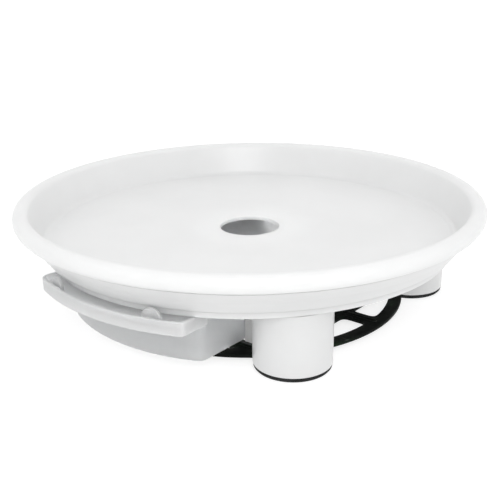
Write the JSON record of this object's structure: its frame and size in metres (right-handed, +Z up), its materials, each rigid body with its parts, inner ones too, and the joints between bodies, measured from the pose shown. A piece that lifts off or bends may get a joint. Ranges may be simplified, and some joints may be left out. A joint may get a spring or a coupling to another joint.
{
  "type": "round drain tray stand with drawer",
  "caption": "Round white tray with a rolled rim and central drain hole, on short round legs tied by a black base frame, with a frosted pull-out collecting drawer under the drain.",
  "frame": {"origin": "on the tray's axis, at the bottom of the foot pads", "axes": "+Z up along the tray's axis, -Y the way the drawer pulls out, +X to the right seen from behind the drawer's front"},
  "size_m": [0.4, 0.4, 0.0937],
  "materials": {
    "white_plastic": "satin moulded",
    "frosted_plastic": "frosted, slightly see-through",
    "black_plastic": "grained",
    "grey_rubber": "matt",
    "zinc_steel": "zinc plated"
  },
  "bodies": {
    "stand": {"tray": "white_plastic", "base_shell": "white_plastic", "base_frame": "black_plastic", "runner_left": "white_plastic", "runner_right": "white_plastic", "leg_front_left": "white_plastic", "leg_front_right": "white_plastic", "leg_rear_left": "white_plastic", "leg_rear_right": "white_plastic", "foot_pad_front_left": "grey_rubber", "foot_pad_front_right": "grey_rubber", "foot_pad_rear_left": "grey_rubber", "foot_pad_rear_right": "grey_rubber", "leg_bolt_front_left": "zinc_steel", "leg_bolt_front_right": "zinc_steel", "leg_bolt_rear_left": "zinc_steel", "leg_bolt_rear_right": "zinc_steel", "leg_nut_front_left": "zinc_steel", "leg_nut_front_right": "zinc_steel", "leg_nut_rear_left": "zinc_steel", "leg_nut_rear_right": "zinc_steel", "runner_screw_front_left": "zinc_steel", "runner_screw_front_right": "zinc_steel", "runner_screw_rear_left": "zinc_steel", "runner_screw_rear_right": "zinc_steel"},
    "drawer": {"drawer_body": "frosted_plastic", "drawer_handle": "frosted_plastic", "handle_tab_left": "frosted_plastic", "handle_tab_right": "frosted_plastic"}
  },
  "joints": [
    {"name": "drawer_slide", "type": "slide", "parent": "stand", "child": "drawer", "axis": [0, -1, 0], "range_m": [0, 0.15]}
  ]
}
